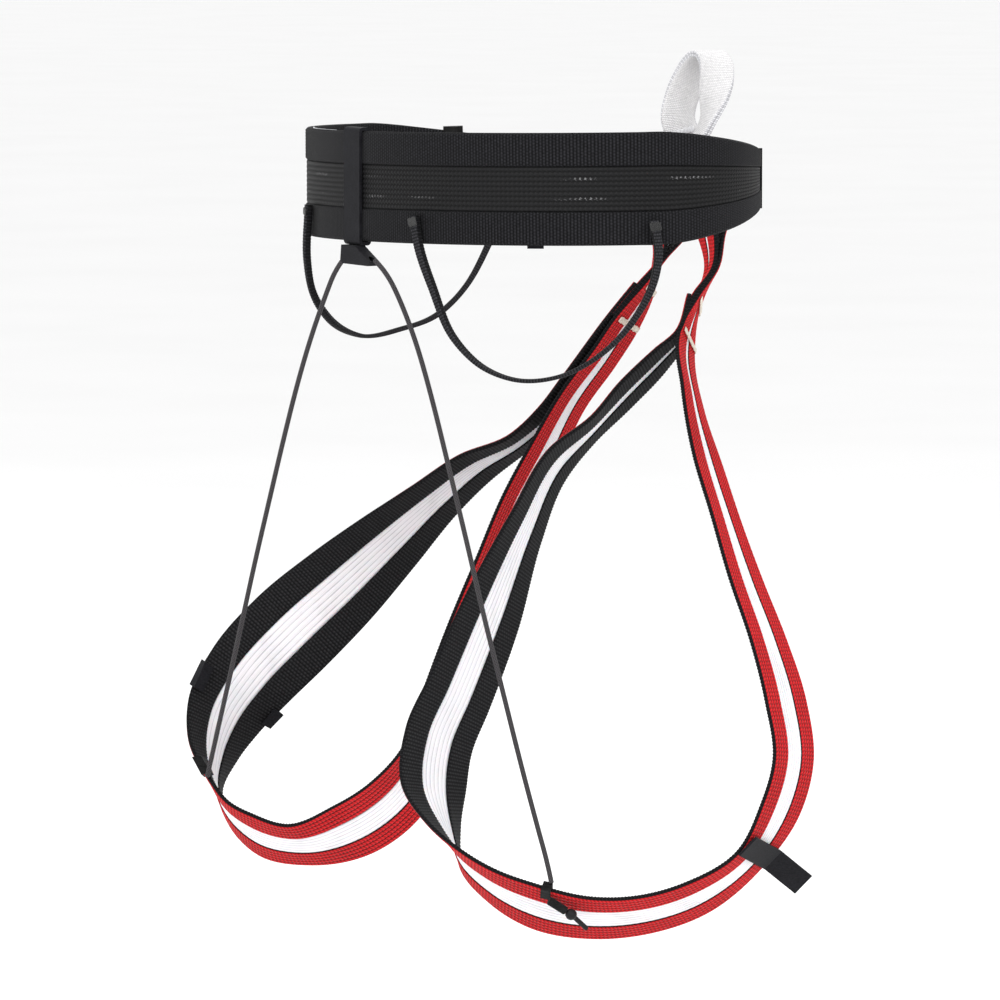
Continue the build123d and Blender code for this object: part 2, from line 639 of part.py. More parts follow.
def span(word, x, y, z, *shares):
    """Sections at shares of the strap's span that starts nearest to a place."""
    row = legs[word]
    start = min(range(len(row) - 1), key=lambda i: (row[i].middle - Vector(x, y, z)).length)
    return [between(row[start], row[start + 1], share) for share in shares]


clip_round(span("left", 141, 98, -275, 0.25, 0.72), "leg_left_label", LABEL_LIP, LABEL_THICKNESS)

# The tag is a folded ribbon: it crosses the strap's outer face and stands out past the lower edge.
tag_place = span("right", -136, -44, -320, 0.02)[0]
tag_plane = tag_place.plane(across=TAG_SHIFT, outward=LEG_THICKNESS / 2 + TAG_THICKNESS / 2 + 0.6)
tag_plane = tag_plane.offset(-TAG_BACK)
tag_edge = tag_place.width / 2
with BuildPart() as leg_tag:
    with BuildSketch(tag_plane.offset(-TAG_WIDTH / 2)):
        with BuildLine():
            Polyline((tag_edge - 1, 0), (-tag_edge - 1, 0), (-tag_edge - 12, -TAG_RISE / 2),
                     (-tag_edge - TAG_LENGTH, -TAG_RISE))
            offset(amount=TAG_THICKNESS / 2, side=Side.BOTH)
        make_face()
    extrude(amount=TAG_WIDTH)
finish(leg_tag, "leg_right_tag")

# ---- riser cords, their tabs, sleeve and knots --------------------------------------------
CORD_RIGHT = [
    (-22, 0, 0), (-28.5, -2.5, -5), (-33, -8, -19), (-38.5, -14, -40), (-45, -19, -67),
    (-52, -24, -99), (-60, -29, -133), (-68, -34, -169), (-77, -39.5, -205),
    (-85, -45, -240), (-91, -50.5, -269), (-95, -54, -287), (-96.7, -55, -295.8),
]
CORD_LEFT = [
    (8, 0, 0), (14, 2, -6), (19, 5, -19), (27, 9, -40), (36, 12, -64), (46, 14.5, -92),
    (57, 16.5, -122), (68.5, 18, -151), (80, 19, -180), (92.5, 19.5, -209),
    (104.5, 20, -236), (112.5, 20.5, -255), (116, 21.5, -266),
]
CORD_BEND = 0.45  # share of the shorter run that each bend takes up


def cord(points, name):
    """A round elastic cord whose corners are arcs as large as their runs allow."""
    path = [Vector(x, pocket_y + y, cord_z + z) for x, y, z in points]
    radii = []
    for before, here, after in zip(path, path[1:], path[2:]):
        turn = (here - before).get_angle(after - here)
        shorter = min((here - before).length, (after - here).length)
        radii.append(CORD_BEND * shorter / tan(radians(turn / 2)))
    with BuildPart() as cord_part:
        with BuildLine() as route:
            FilletPolyline(*path, radius=radii)
        with BuildSketch(Plane(origin=path[0], z_dir=path[1] - path[0])):
            Circle(CORD_DIAMETER / 2)
        sweep(path=route.wire())
    length = route.wire().length
    share = cord_part.part.volume / (pi * (CORD_DIAMETER / 2) ** 2 * length)
    print(f"{name}: {length:.0f} mm, volume share {share:.4f}, radii {[round(r) for r in radii]}")
    finish(cord_part, name)
    return path


path_right = cord(CORD_RIGHT, "riser_cord_right")
path_left = cord(CORD_LEFT, "riser_cord_left")
print("cord ends", path_right[-1], path_left[-1])

for word, ends in (
    ("right", span("right", -92, 19, -350, 0.70, 0.88)),
    ("left", span("left", 135, 106, -308, 0.1, 0.6)),
):
    edge_clip(ends, f"riser_tab_{word}", TAB_REACH, TAB_THICKNESS)
    print(word, "tab edge", ends[0].plane(across=ends[0].width / 2).origin)

# On the right leg the cord's doubled end runs down the strap in a sleeve, to a knot.
tab_top = LEG_THICKNESS / 2 + CLIP_ROOM + TAB_THICKNESS
tab_end = span("right", -92, 19, -350, 0.70)[0]
start = tab_end.plane(across=tab_end.width / 2 - 3.0, outward=tab_top + SLEEVE_RADIUS + 0.3)
run = (start.z_dir * -cos(radians(SLEEVE_SLOPE)) - start.x_dir * sin(radians(SLEEVE_SLOPE))
       - start.y_dir * 0.12).normalized()
with BuildPart() as sleeve:
    with BuildSketch(Plane(origin=start.origin, z_dir=run)):
        Circle(SLEEVE_RADIUS)
    extrude(amount=SLEEVE_LENGTH)
    chamfer(sleeve.edges().filter_by(GeomType.CIRCLE), 0.5)
finish(sleeve, "riser_sleeve_right")
knot_plane = Plane(origin=start.origin + run * (SLEEVE_LENGTH + KNOT_RADIUS + 0.1),
                   z_dir=(run - start.x_dir * 0.5).normalized())
with BuildPart(knot_plane) as knot:
    Sphere(KNOT_RADIUS)
    Cylinder(CORD_DIAMETER / 2, KNOT_RADIUS + TAIL_LENGTH, align=(Align.CENTER, Align.CENTER, Align.MIN))
finish(knot, "riser_knot_right")
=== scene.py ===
"""Looks for the climbing harness: woven straps, thread, cords, camera and light around the CAD frame."""
from collections import defaultdict
from math import cos, pi, radians, sin

import bmesh
import bpy
import numpy as np
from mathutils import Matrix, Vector


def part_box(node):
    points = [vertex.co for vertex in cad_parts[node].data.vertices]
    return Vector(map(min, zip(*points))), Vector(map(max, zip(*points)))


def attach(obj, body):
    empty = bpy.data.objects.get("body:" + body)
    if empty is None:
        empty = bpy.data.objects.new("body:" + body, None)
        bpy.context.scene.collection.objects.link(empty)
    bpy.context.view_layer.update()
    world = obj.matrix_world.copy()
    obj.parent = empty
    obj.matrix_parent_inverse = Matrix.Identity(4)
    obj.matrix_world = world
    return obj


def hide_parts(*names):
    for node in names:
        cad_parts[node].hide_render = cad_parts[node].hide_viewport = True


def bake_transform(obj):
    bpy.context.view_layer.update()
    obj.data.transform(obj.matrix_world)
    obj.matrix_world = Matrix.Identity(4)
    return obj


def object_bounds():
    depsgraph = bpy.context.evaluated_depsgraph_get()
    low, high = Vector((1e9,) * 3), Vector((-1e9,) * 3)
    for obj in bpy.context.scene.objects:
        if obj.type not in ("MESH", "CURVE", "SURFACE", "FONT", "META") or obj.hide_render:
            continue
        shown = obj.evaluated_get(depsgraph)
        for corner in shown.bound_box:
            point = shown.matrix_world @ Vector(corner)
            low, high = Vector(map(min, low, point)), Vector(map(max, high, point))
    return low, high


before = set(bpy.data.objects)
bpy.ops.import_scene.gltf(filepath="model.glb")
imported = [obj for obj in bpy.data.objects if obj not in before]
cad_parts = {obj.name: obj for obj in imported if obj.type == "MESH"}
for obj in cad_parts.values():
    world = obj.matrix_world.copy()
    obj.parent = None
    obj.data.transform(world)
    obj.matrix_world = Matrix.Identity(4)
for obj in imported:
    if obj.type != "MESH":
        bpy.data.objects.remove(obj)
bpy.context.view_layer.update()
MM = 0.001
SHARP = radians(70)  # edges of a strap are sharper than this, its bends are not


# ---- reading the straps from the frame ----------------------------------------------------
def rail_chains(node):
    """The four long edges of a lofted strap, all from the same end."""
    mesh = bmesh.new()
    mesh.from_mesh(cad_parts[node].data)
    bmesh.ops.remove_doubles(mesh, verts=mesh.verts, dist=2e-6)
    links = defaultdict(list)
    for edge in mesh.edges:
        if len(edge.link_faces) == 2 and edge.calc_face_angle() > SHARP:
            first, second = edge.verts
            links[first].append(second)
            links[second].append(first)
    corner = next(v for v in links if len(links[v]) == 3)
    cap = [corner]
    for known in cap:
        cap += [v for v in links[known] if len(links[v]) == 3 and v not in cap]
    chains = []
    for start in cap:
        path = [start, next(v for v in links[start] if len(links[v]) == 2)]
        while len(links[path[-1]]) == 2:
            path.append(next(v for v in links[path[-1]] if v is not path[-2]))
        chains.append(np.array([v.co for v in path]))
    mesh.free()
    return np.array(chains)


def through(points, knots, at):
    """A smooth curve through points that stand at knots, read at other places."""
    slopes = np.gradient(points, knots, axis=0)
    i = np.clip(np.searchsorted(knots, at, side="right") - 1, 0, len(knots) - 2)
    span = (knots[i + 1] - knots[i])[:, None]
    t = ((at - knots[i]) / (knots[i + 1] - knots[i]))[:, None]
    ends = (2 * t**3 - 3 * t**2 + 1) * points[i] + (3 * t**2 - 2 * t**3) * points[i + 1]
    return ends + span * ((t**3 - 2 * t**2 + t) * slopes[i] + (t**3 - t**2) * slopes[i + 1])


def unit(vectors):
    return vectors / np.linalg.norm(vectors, axis=-1, keepdims=True)


class Strap:
    """A strap read from its CAD node, as smooth edges that can be read anywhere along it.

    goes_on tells a strap's first end from its last, and lean and outer point across it and out of
    its outer face at the first end.
    """

    def __init__(self, node, goes_on, lean, outer):
        chains = rail_chains(node)
        if goes_on(chains.mean(axis=0)) < goes_on(chains.mean(axis=0)[::-1]):
            chains = chains[:, ::-1]
        arms = chains[:, 0] - chains[:, 0].mean(axis=0)
        sides = (arms @ np.array(lean) > 0).astype(int)
        faces = (arms @ np.array(outer) > 0).astype(int)
        self.rails = {(s, f): chains[i] for i, (s, f) in enumerate(zip(sides, faces))}
        if len(self.rails) != 4:
            raise ValueError(f"the edges of {node} can't be told apart")
        middle = chains.mean(axis=0)
        steps = np.linalg.norm(np.diff(middle, axis=0), axis=1)
        self.knots = np.concatenate([[0.0], np.cumsum(steps)])
        self.length = self.knots[-1]

    def read(self, at):
        """Edges at places along the strap: positions by side (0 or 1) and face (0 or 1)."""
        found = np.array([[through(self.rails[s, f], self.knots, at) for f in (0, 1)] for s in (0, 1)])
        return found, unit((found[:, 1] - found[:, 0]).mean(axis=0))


# ---- making straps ------------------------------------------------------------------------
def mesh_object(name, points, faces, uvs, zones, materials, body):
    """A mesh with one UV per corner of each face and one material per zone."""
    mesh = bpy.data.meshes.new(name)
    mesh.from_pydata(points, [], faces)
    layer = mesh.uv_layers.new(name="UVMap")
    layer.data.foreach_set("uv", np.asarray(uvs, dtype=np.float32).ravel())
    for material in materials:
        mesh.materials.append(material)
    mesh.polygons.foreach_set("material_index", np.asarray(zones, dtype=np.int32))
    mesh.polygons.foreach_set("use_smooth", [True] * len(faces))
    mesh.update()
    made = bpy.data.objects.new(name, mesh)
    bpy.context.collection.objects.link(made)
    if body:
        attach(made, body)
    return made


class Section:
    """A strap's cross-section: points in order round it, with a zone for the face after each.

    across runs 0 to 1 over the strap, through 0 to 1 from its inner to its outer face, and lift is
    how far a point stands proud of that, in metres. share is the across value for the pattern.
    """

    def __init__(self):
        self.across, self.through, self.lift, self.zone, self.share = [], [], [], [], []

    def add(self, across, through, lift, zone, share=None):
        self.across.append(across)
        self.through.append(through)
        self.lift.append(lift)
        self.zone.append(zone)
        self.share.append(across if share is None else share)


OUTER, INNER, EDGE = 0, 1, 2


def weave_section(columns, bulge, inner_columns, per_column=6, rim=0.06, crown=0.25):
    """Columns of yarn on the outer face, a flat inner face and rounded edges."""
    section = Section()
    for i in range(columns * per_column + 1):
        share = i / (columns * per_column)
        hump = abs(sin(pi * share * columns)) ** 0.6
        edge = min(share, 1 - share) / max(rim, 0.01)
        lift = bulge * hump - crown * MM * max(0.0, 1 - edge) ** 2
        section.add(rim / 2 + share * (1 - rim), 1.0, lift, OUTER, share)
    section.zone[-1] = EDGE
    section.add(1.0, 0.72, 0.0, EDGE, 1.0)
    section.add(1.0, 0.28, 0.0, EDGE, 1.0)
    for i in range(inner_columns + 1):
        share = 1 - i / inner_columns
        section.add(rim / 2 + share * (1 - rim), 0.0, 0.0, INNER, share)
    section.zone[-1] = EDGE
    section.add(0.0, 0.28, 0.0, EDGE, 0.0)
    section.add(0.0, 0.72, 0.0, EDGE, 0.0)
    return section


def weave(name, strap, section, step, materials, body, ribs=(0.0, 0.0), sway=0.0, sway_rows=4,
          first=0.0, last=None):
    """A strap as one mesh. ribs is how far each second row stands out on the outer and inner face.

    sway moves the columns from side to side, so that they run in zigzags.
    """
    last = strap.length if last is None else last
    rows = max(int(round((last - first) / step)), 4)
    at = np.linspace(first, last, rows + 1)
    edges, outward = strap.read(at)
    across = np.array(section.across)
    through_share = np.array(section.through)
    lift = np.array(section.lift)
    zone = np.array(section.zone)
    count = len(across)
    row = np.arange(rows + 1)
    swing = np.abs(((row / sway_rows) % 1.0) * 2 - 1) - 0.5
    inside = (across > 0.08) & (across < 0.92) & (through_share > 0.9)
    moved = across[None, :] + sway * swing[:, None] * inside[None, :]
    a = moved[..., None]
    h = through_share[None, :, None]
    low = edges[0, 0][:, None] * (1 - h) + edges[0, 1][:, None] * h
    high = edges[1, 0][:, None] * (1 - h) + edges[1, 1][:, None] * h
    points = low * (1 - a) + high * a
    rib = np.where(row % 2 == 0, 1.0, 0.0)[:, None]
    face_lift = np.where(through_share > 0.9, ribs[0], np.where(through_share < 0.1, -ribs[1], 0.0))
    rise = lift[None, :] * np.where(through_share > 0.5, 1.0, -1.0)[None, :] + rib * face_lift[None, :]
    points = points + outward[:, None] * rise[..., None]
    faces, uvs, zones = [], [], []
    share = np.array(section.share)
    for r in range(rows):
        for c in range(count):
            d = (c + 1) % count
            faces.append((r * count + c, r * count + d, (r + 1) * count + d, (r + 1) * count + c))
            uvs += [(share[c], at[r]), (share[d], at[r]), (share[d], at[r + 1]), (share[c], at[r + 1])]
            zones.append(zone[c])
    for r, order in ((0, range(count - 1, -1, -1)), (rows, range(count))):
        faces.append(tuple(r * count + c for c in order))
        uvs += [(share[c], at[r]) for c in order]
        zones.append(EDGE)
    made = mesh_object(name, points.reshape(-1, 3).tolist(), faces, uvs, zones, materials, body)
    turned_right_way(made)
    return made


def turned_right_way(piece):
    """Point a closed piece's faces outward."""
    mesh = bmesh.new()
    mesh.from_mesh(piece.data)
    if mesh.calc_volume(signed=True) < 0:
        bmesh.ops.reverse_faces(mesh, faces=mesh.faces)
    mesh.to_mesh(piece.data)
    mesh.free()


# ---- materials ----------------------------------------------------------------------------
class Look:
    """A node material, built up from a principled shader."""

    def __init__(self, name, **values):
        self.material = bpy.data.materials.new(name)
        self.material.use_nodes = True
        self.nodes = self.material.node_tree.nodes
        self.links = self.material.node_tree.links
        self.shader = self.nodes["Principled BSDF"]
        for socket, value in values.items():
            self.shader.inputs[socket.replace("_", " ")].default_value = value
        place = self.nodes.new("ShaderNodeSeparateXYZ")
        self.links.new(self.nodes.new("ShaderNodeUVMap").outputs["UV"], place.inputs[0])
        self.share, self.along = place.outputs["X"], place.outputs["Y"]
        self.object_place = self.nodes.new("ShaderNodeTexCoord").outputs["Object"]

    def put(self, socket, value):
        if isinstance(value, bpy.types.NodeSocket):
            self.links.new(value, socket)
        else:
            socket.default_value = value

    def math(self, operation, first, second=0.0):
        node = self.nodes.new("ShaderNodeMath")
        node.operation = operation
        self.put(node.inputs[0], first)
        self.put(node.inputs[1], second)
        return node.outputs[0]

    def wave(self, value, pitch, shift=0.0):
        """0 to 1 to 0 over each pitch of a value."""
        turns = self.math("DIVIDE", value, pitch)
        turns = self.math("ADD", turns, shift)
        return self.math("PINGPONG", turns, 0.5)

    def cells(self, value, pitch):
        return self.math("FLOOR", self.math("DIVIDE", value, pitch))

    def noise(self, scale, detail=2.0, stretch=(1, 1, 1)):
        mapping = self.nodes.new("ShaderNodeMapping")
        self.links.new(self.object_place, mapping.inputs["Vector"])
        mapping.inputs["Scale"].default_value = stretch
        node = self.nodes.new("ShaderNodeTexNoise")
        self.links.new(mapping.outputs[0], node.inputs["Vector"])
        node.inputs["Scale"].default_value = scale
        node.inputs["Detail"].default_value = detail
        return node.outputs[0]

    def ramp(self, value, *stops):
        """A colour ramp. Each stop is (position, (r, g, b))."""
        node = self.nodes.new("ShaderNodeValToRGB")
        self.put(node.inputs[0], value)
        elements = node.color_ramp.elements
        elements[0].position, elements[0].color = stops[0][0], (*stops[0][1], 1)
        elements[1].position, elements[1].color = stops[-1][0], (*stops[-1][1], 1)
        for position, colour in stops[1:-1]:
            elements.new(position).color = (*colour, 1)
        return node.outputs[0]

    def range(self, value, low, high, to_low=0.0, to_high=1.0):
        node = self.nodes.new("ShaderNodeMapRange")
        self.put(node.inputs["Value"], value)
        for socket, number in zip(("From Min", "From Max", "To Min", "To Max"), (low, high, to_low, to_high)):
            node.inputs[socket].default_value = number
        return node.outputs[0]

    def mix(self, share, first, second):
        node = self.nodes.new("ShaderNodeMix")
        node.data_type = "RGBA"
        self.put(node.inputs["Factor"], share)
        for socket, value in zip((6, 7), (first, second)):
            self.put(node.inputs[socket], (*value, 1) if isinstance(value, tuple) else value)
        return node.outputs[2]

    def colour(self, value):
        self.put(self.shader.inputs["Base Color"], value)

    def roughness(self, value):
        self.put(self.shader.inputs["Roughness"], value)

    def bump(self, height, depth, strength=1.0):
        node = self.nodes.new("ShaderNodeBump")
        self.put(node.inputs["Height"], height)
        node.inputs["Distance"].default_value = depth
        node.inputs["Strength"].default_value = strength
        self.links.new(node.outputs[0], self.shader.inputs["Normal"])
        return self.material


def ribbed(name, dark, light, rib, yarns, sheen=0.03):
    """Webbing with ribs across it, every second one half a yarn out of step."""
    look = Look(name, Sheen_Weight=sheen, Specular_IOR_Level=0.07)
    ribs = look.wave(look.along, rib)
    shift = look.math("MULTIPLY", look.math("MODULO", look.cells(look.along, rib), 2.0), 0.5)
    yarn = look.wave(look.math("ADD", look.math("MULTIPLY", look.share, yarns), shift), 1.0)
    weave_height = look.math("MULTIPLY", look.math("POWER", ribs, 0.6), look.range(yarn, 0.0, 0.35, 0.55, 1.0))
    fuzz = look.noise(900.0)
    # The colour ramp follows the weave height: painted highlight on the rib crests and painted shade in the grooves,
    # mixed with random fibre tone from the fuzz.
    tone = look.math("ADD", look.math("MULTIPLY", weave_height, 0.9), look.math("MULTIPLY", fuzz, 0.5))
    middle = tuple(d * 0.6 + c * 0.4 for d, c in zip(dark, light))
    look.colour(look.ramp(tone, (0.28, dark), (0.6, middle), (0.85, light)))
    look.roughness(look.range(fuzz, 0.3, 0.7, 0.55, 0.85))
    return look.bump(weave_height, 0.35 * MM)


def columned(name, yarn, dark, columns, pitch):
    """Webbing with columns of thick yarn along it and thin dark zigzags between them."""
    look = Look(name, Sheen_Weight=0.03, Specular_IOR_Level=0.15)
    place = look.math("MULTIPLY", look.share, columns)
    groove = look.wave(place, 1.0)
    slant = look.math("ADD", look.math("DIVIDE", look.along, pitch), look.math("MULTIPLY", groove, 1.1))
    twist = look.wave(slant, 1.0)
    fuzz = look.noise(1200.0)
    broad = look.noise(60.0)
    deep = tuple(c * 0.3 for c in yarn)
    bright = tuple(min(c * 1.45 + 0.01, 1.0) for c in yarn)
    tone = look.math("ADD", look.math("MULTIPLY", twist, 1.2), look.math("MULTIPLY", fuzz, 0.4))
    tone = look.math("ADD", tone, look.math("MULTIPLY", broad, 0.2))
    cloth = look.ramp(tone, (0.2, deep), (0.6, yarn), (1.0, bright))
    line = look.range(groove, 0.05, 0.13, 1.0, 0.0)
    rim = look.range(look.wave(look.share, 2.0), 0.012, 0.022, 1.0, 0.0)
    look.colour(look.mix(look.math("MAXIMUM", line, rim), cloth, dark))
    look.roughness(look.range(fuzz, 0.3, 0.7, 0.45, 0.75))
    height = look.math("MULTIPLY", look.math("POWER", twist, 0.7), look.range(groove, 0.03, 0.2, 0.2, 1.0))
    return look.bump(height, 0.4 * MM)


def scrim(name, low, high, lines):
    """Thin sheer cloth with lines along it."""
    look = Look(name, Sheen_Weight=0.2, Roughness=0.65, Subsurface_Weight=0.15, Subsurface_Scale=0.002)
    line = look.wave(look.math("MULTIPLY", look.share, lines), 1.0)
    thread = look.wave(look.along, 0.7 * MM)
    fuzz = look.noise(800.0)
    # Painted shading of fine pleats: long streaks of lighter and darker colour, with no pleats in the shape or the
    # bump.
    painted_pleat_shading = look.noise(70.0, 3.0, (1, 1, 0.25))
    tone = look.math("ADD", look.range(line, 0.0, 0.14, 0.0, 0.6), look.math("MULTIPLY", thread, 0.25))
    tone = look.math("ADD", tone, look.math("MULTIPLY", fuzz, 0.15))
    tone = look.math("ADD", tone, look.range(painted_pleat_shading, 0.3, 0.6, -0.15, 0.12))
    look.colour(look.ramp(tone, (0.15, low), (0.7, high)))
    return look.bump(look.math("ADD", line, look.math("MULTIPLY", thread, 0.3)), 0.25 * MM)


def glinting_mesh(name, rows, pitch):
    """Dark open knit: zigzag rows along the belt, with painted glints on the threads of some of them."""
    look = Look(name, Specular_IOR_Level=0.12, Sheen_Weight=0.01)
    place = look.math("MULTIPLY", look.share, rows)
    row = look.wave(place, 1.0)
    slant = look.math("ADD", look.math("DIVIDE", look.along, pitch), row)
    twist = look.wave(slant, 1.0)
    fuzz = look.noise(1500.0)
    glint_patch = look.noise(38.0, 4.0, (1, 1, 4))
    tone = look.math("MULTIPLY", look.math("POWER", row, 0.6), look.math("ADD", 0.5, twist))
    cloth = look.ramp(look.math("ADD", tone, look.math("MULTIPLY", fuzz, 0.25)),
                      (0.1, (0.0008, 0.0008, 0.0008)), (0.9, (0.016, 0.016, 0.017)))
    # Painted glints: light grey flecks on every fourth row stand in for light caught by shiny threads. Those flecks
    # are also made smoother.
    glint_row = look.math("COMPARE", look.math("MODULO", look.math("FLOOR", place), 4.0), 2.0)
    painted_glint = look.math("MULTIPLY", look.range(glint_patch, 0.54, 0.66), look.range(twist, 0.2, 0.42))
    painted_glint = look.math("MULTIPLY", painted_glint, look.range(fuzz, 0.42, 0.6))
    painted_glint = look.math("MULTIPLY", painted_glint, glint_row)
    painted_glint = look.math("MULTIPLY", painted_glint, look.range(row, 0.2, 0.35))
    look.colour(look.mix(look.math("MULTIPLY", painted_glint, 0.55), cloth, (0.4, 0.4, 0.41)))
    look.roughness(look.range(painted_glint, 0.0, 1.0, 0.6, 0.3))
    return look.bump(tone, 0.5 * MM)


def cloth(name, dark, light, weave_scale=2600.0, sheen=0.03, rough=(0.5, 0.8), depth=0.12):
    """Plain close weave for tapes, labels and other small pieces, without UVs."""
    look = Look(name, Sheen_Weight=sheen, Specular_IOR_Level=0.09)
    across = look.noise(weave_scale, 1.0, (1, 1, 0.18))
    up = look.noise(weave_scale, 1.0, (0.18, 0.18, 1))
    tone = look.math("ADD", look.math("MULTIPLY", across, 0.6), look.math("MULTIPLY", up, 0.6))
    tone = look.math("ADD", tone, look.math("MULTIPLY", look.noise(90.0), 0.25))
    look.colour(look.ramp(tone, (0.5, dark), (0.95, light)))
    look.roughness(look.range(across, 0.3, 0.7, *rough))
    return look.bump(tone, depth * MM)


def thread(name, dark, light):
    look = Look(name, Sheen_Weight=0.2, Specular_IOR_Level=0.45)
    strands = look.noise(3500.0, 2.0, (1, 1, 0.3))
    look.colour(look.ramp(strands, (0.3, dark), (0.7, light)))
    look.roughness(look.range(strands, 0.3, 0.7, 0.4, 0.7))
    return look.bump(strands, 0.08 * MM)


def braid(name, dark, light, turns, pitch):
    """Braided sheath: two sets of strands crossing at an angle round the cord."""
    look = Look(name, Sheen_Weight=0.04, Specular_IOR_Level=0.25)
    round_share = look.math("MULTIPLY", look.share, turns)
    along = look.math("DIVIDE", look.along, pitch)
    left = look.wave(look.math("ADD", round_share, along), 1.0)
    right = look.wave(look.math("SUBTRACT", along, round_share), 1.0)
    strands = look.math("MAXIMUM", left, right)
    fuzz = look.noise(2500.0)
    look.colour(look.ramp(look.math("ADD", strands, look.math("MULTIPLY", fuzz, 0.3)), (0.25, dark), (0.65, light)))
    look.roughness(look.range(fuzz, 0.3, 0.7, 0.5, 0.75))
    return look.bump(strands, 0.25 * MM)


def alloy(name, colour):
    look = Look(name, Metallic=1.0, Coat_Weight=0.15, Coat_Roughness=0.3)
    scratch = look.noise(700.0, 3.0, (1, 0.05, 1))
    look.colour(look.ramp(scratch, (0.3, tuple(c * 0.8 for c in colour)), (0.7, colour)))
    look.roughness(look.range(scratch, 0.3, 0.7, 0.28, 0.45))
    return look.bump(scratch, 0.02 * MM)


# The lighter black of the belt webbing is the light end of its rib ramp: the painted highlight on the rib crests.
BLACK, BLACK_CREST_HIGHLIGHT = (0.0004, 0.0004, 0.0006), (0.024, 0.024, 0.027)
black_ribs = ribbed("belt webbing", BLACK, BLACK_CREST_HIGHLIGHT, 1.65 * MM, 10)
inner_black = ribbed("leg webbing inside", BLACK, (0.03, 0.03, 0.032), 1.7 * MM, 8)
edge_black = ribbed("selvedge", BLACK, (0.016, 0.016, 0.018), 0.9 * MM, 2)
red = columned("leg webbing outside", (0.47, 0.005, 0.008), (0.006, 0.001, 0.002), 5, 1.9 * MM)
white_scrim = scrim("leg scrim", (0.42, 0.42, 0.45), (0.78, 0.775, 0.8), 6)
belt_scrim = glinting_mesh("belt knit", 9, 2.4 * MM)
pale = ribbed("belay webbing", (0.5, 0.495, 0.5), (0.8, 0.79, 0.795), 0.8 * MM, 14, 0.1)
pale_edge = ribbed("belay selvedge", (0.4, 0.4, 0.42), (0.8, 0.8, 0.82), 0.9 * MM, 2, 0.1)
charcoal = ribbed("gear loop tape", (0.003, 0.003, 0.0035), (0.045, 0.045, 0.05), 1.5 * MM, 3)
strap_black = ribbed("strap webbing", BLACK, (0.02, 0.02, 0.022), 1.1 * MM, 8)
tape_black = cloth("black tape", (0.0015, 0.0015, 0.002), (0.014, 0.014, 0.016))
satin_black = cloth("black satin", (0.002, 0.002, 0.003), (0.014, 0.014, 0.017), 3200.0, 0.02, (0.6, 0.75), 0.05)
knit_black = cloth("black elastic", (0.0015, 0.0015, 0.0015), (0.014, 0.014, 0.014), 1500.0, 0.05, (0.6, 0.85), 0.25)
label_grey = cloth("label cloth", (0.36, 0.37, 0.39), (0.56, 0.57, 0.6), 2400.0, 0.1, (0.5, 0.7), 0.06)
cream_thread = thread("cream thread", (0.5, 0.45, 0.36), (0.85, 0.8, 0.7))
white_thread = thread("white thread", (0.6, 0.6, 0.62), (0.9, 0.9, 0.92))
grey_thread = thread("grey thread", (0.25, 0.25, 0.27), (0.5, 0.5, 0.53))
black_thread = thread("black thread", (0.002, 0.002, 0.002), (0.02, 0.02, 0.02))
cord_sheath = braid("elastic cord", (0.005, 0.0045, 0.005), (0.05, 0.046, 0.05), 6, 1.6 * MM)
grey_alloy = alloy("grey alloy", (0.5, 0.51, 0.53))


# ---- waistbelt ----------------------------------------------------------------------------
def left_end_first(line):
    return line[0][0]


def belt_strap(node):
    return Strap(node, left_end_first, (0, 0, 1), (1.0, -0.8, 0.0))


band_section = weave_section(10, 0.12 * MM, 10, per_column=2, crown=0.5)
for word in ("upper", "lower"):
    node = f"waistbelt_{word}_band"
    band = weave(f"belt_{word}_webbing", belt_strap(node), band_section, 0.825 * MM,
                 [black_ribs, black_ribs, edge_black], "waistbelt", ribs=(0.32 * MM, 0.32 * MM))
    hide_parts(node)

knit_section = weave_section(9, 0.35 * MM, 9, per_column=4, rim=0.0, crown=0.0)
knit = weave("belt_knit", belt_strap("waistbelt_mesh_panel"), knit_section, 0.8 * MM,
             [belt_scrim, belt_scrim, edge_black], "waistbelt", sway=0.035, sway_rows=3)
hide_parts("waistbelt_mesh_panel")


# ---- leg loops ----------------------------------------------------------------------------
def rises_first(line):
    return line[2][2] - line[0][2]


def leg_loop(word):
    """Both bands and the scrim of a leg strap. Their outer face is the red one."""
    body = f"leg_{word}"
    outer_line = rail_chains(f"{body}_outer_band").mean(axis=0)
    inner_line = rail_chains(f"{body}_inner_band").mean(axis=0)
    if rises_first(outer_line) < rises_first(outer_line[::-1]):
        outer_line = outer_line[::-1]
    if rises_first(inner_line) < rises_first(inner_line[::-1]):
        inner_line = inner_line[::-1]
    lean = unit(outer_line[0] - inner_line[0])
    outward = np.cross(lean, unit(outer_line[1] - outer_line[0]))
    red_section = weave_section(5, 0.5 * MM, 8, per_column=6)
    for side in ("outer", "inner"):
        node = f"{body}_{side}_band"
        strap = Strap(node, rises_first, lean, outward)
        band = weave(f"{body}_{side}_webbing", strap, red_section, 0.85 * MM,
                     [red, inner_black, edge_black], body, ribs=(0.0, 0.3 * MM), sway=0.018)
        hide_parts(node)
    sheer_section = weave_section(6, 0.2 * MM, 12, per_column=4, rim=0.0, crown=0.0)
    strap = Strap(f"{body}_mesh", rises_first, lean, outward)
    sheer = weave(f"{body}_scrim", strap, sheer_section, 1.7 * MM, [white_scrim, white_scrim, white_scrim],
                  body, ribs=(0.06 * MM, 0.06 * MM))
    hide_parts(f"{body}_mesh")


for word in ("right", "left"):
    leg_loop(word)


# ---- belay loop, gear loops and waist strap -----------------------------------------------
def any_way(line):
    return line[0][1]


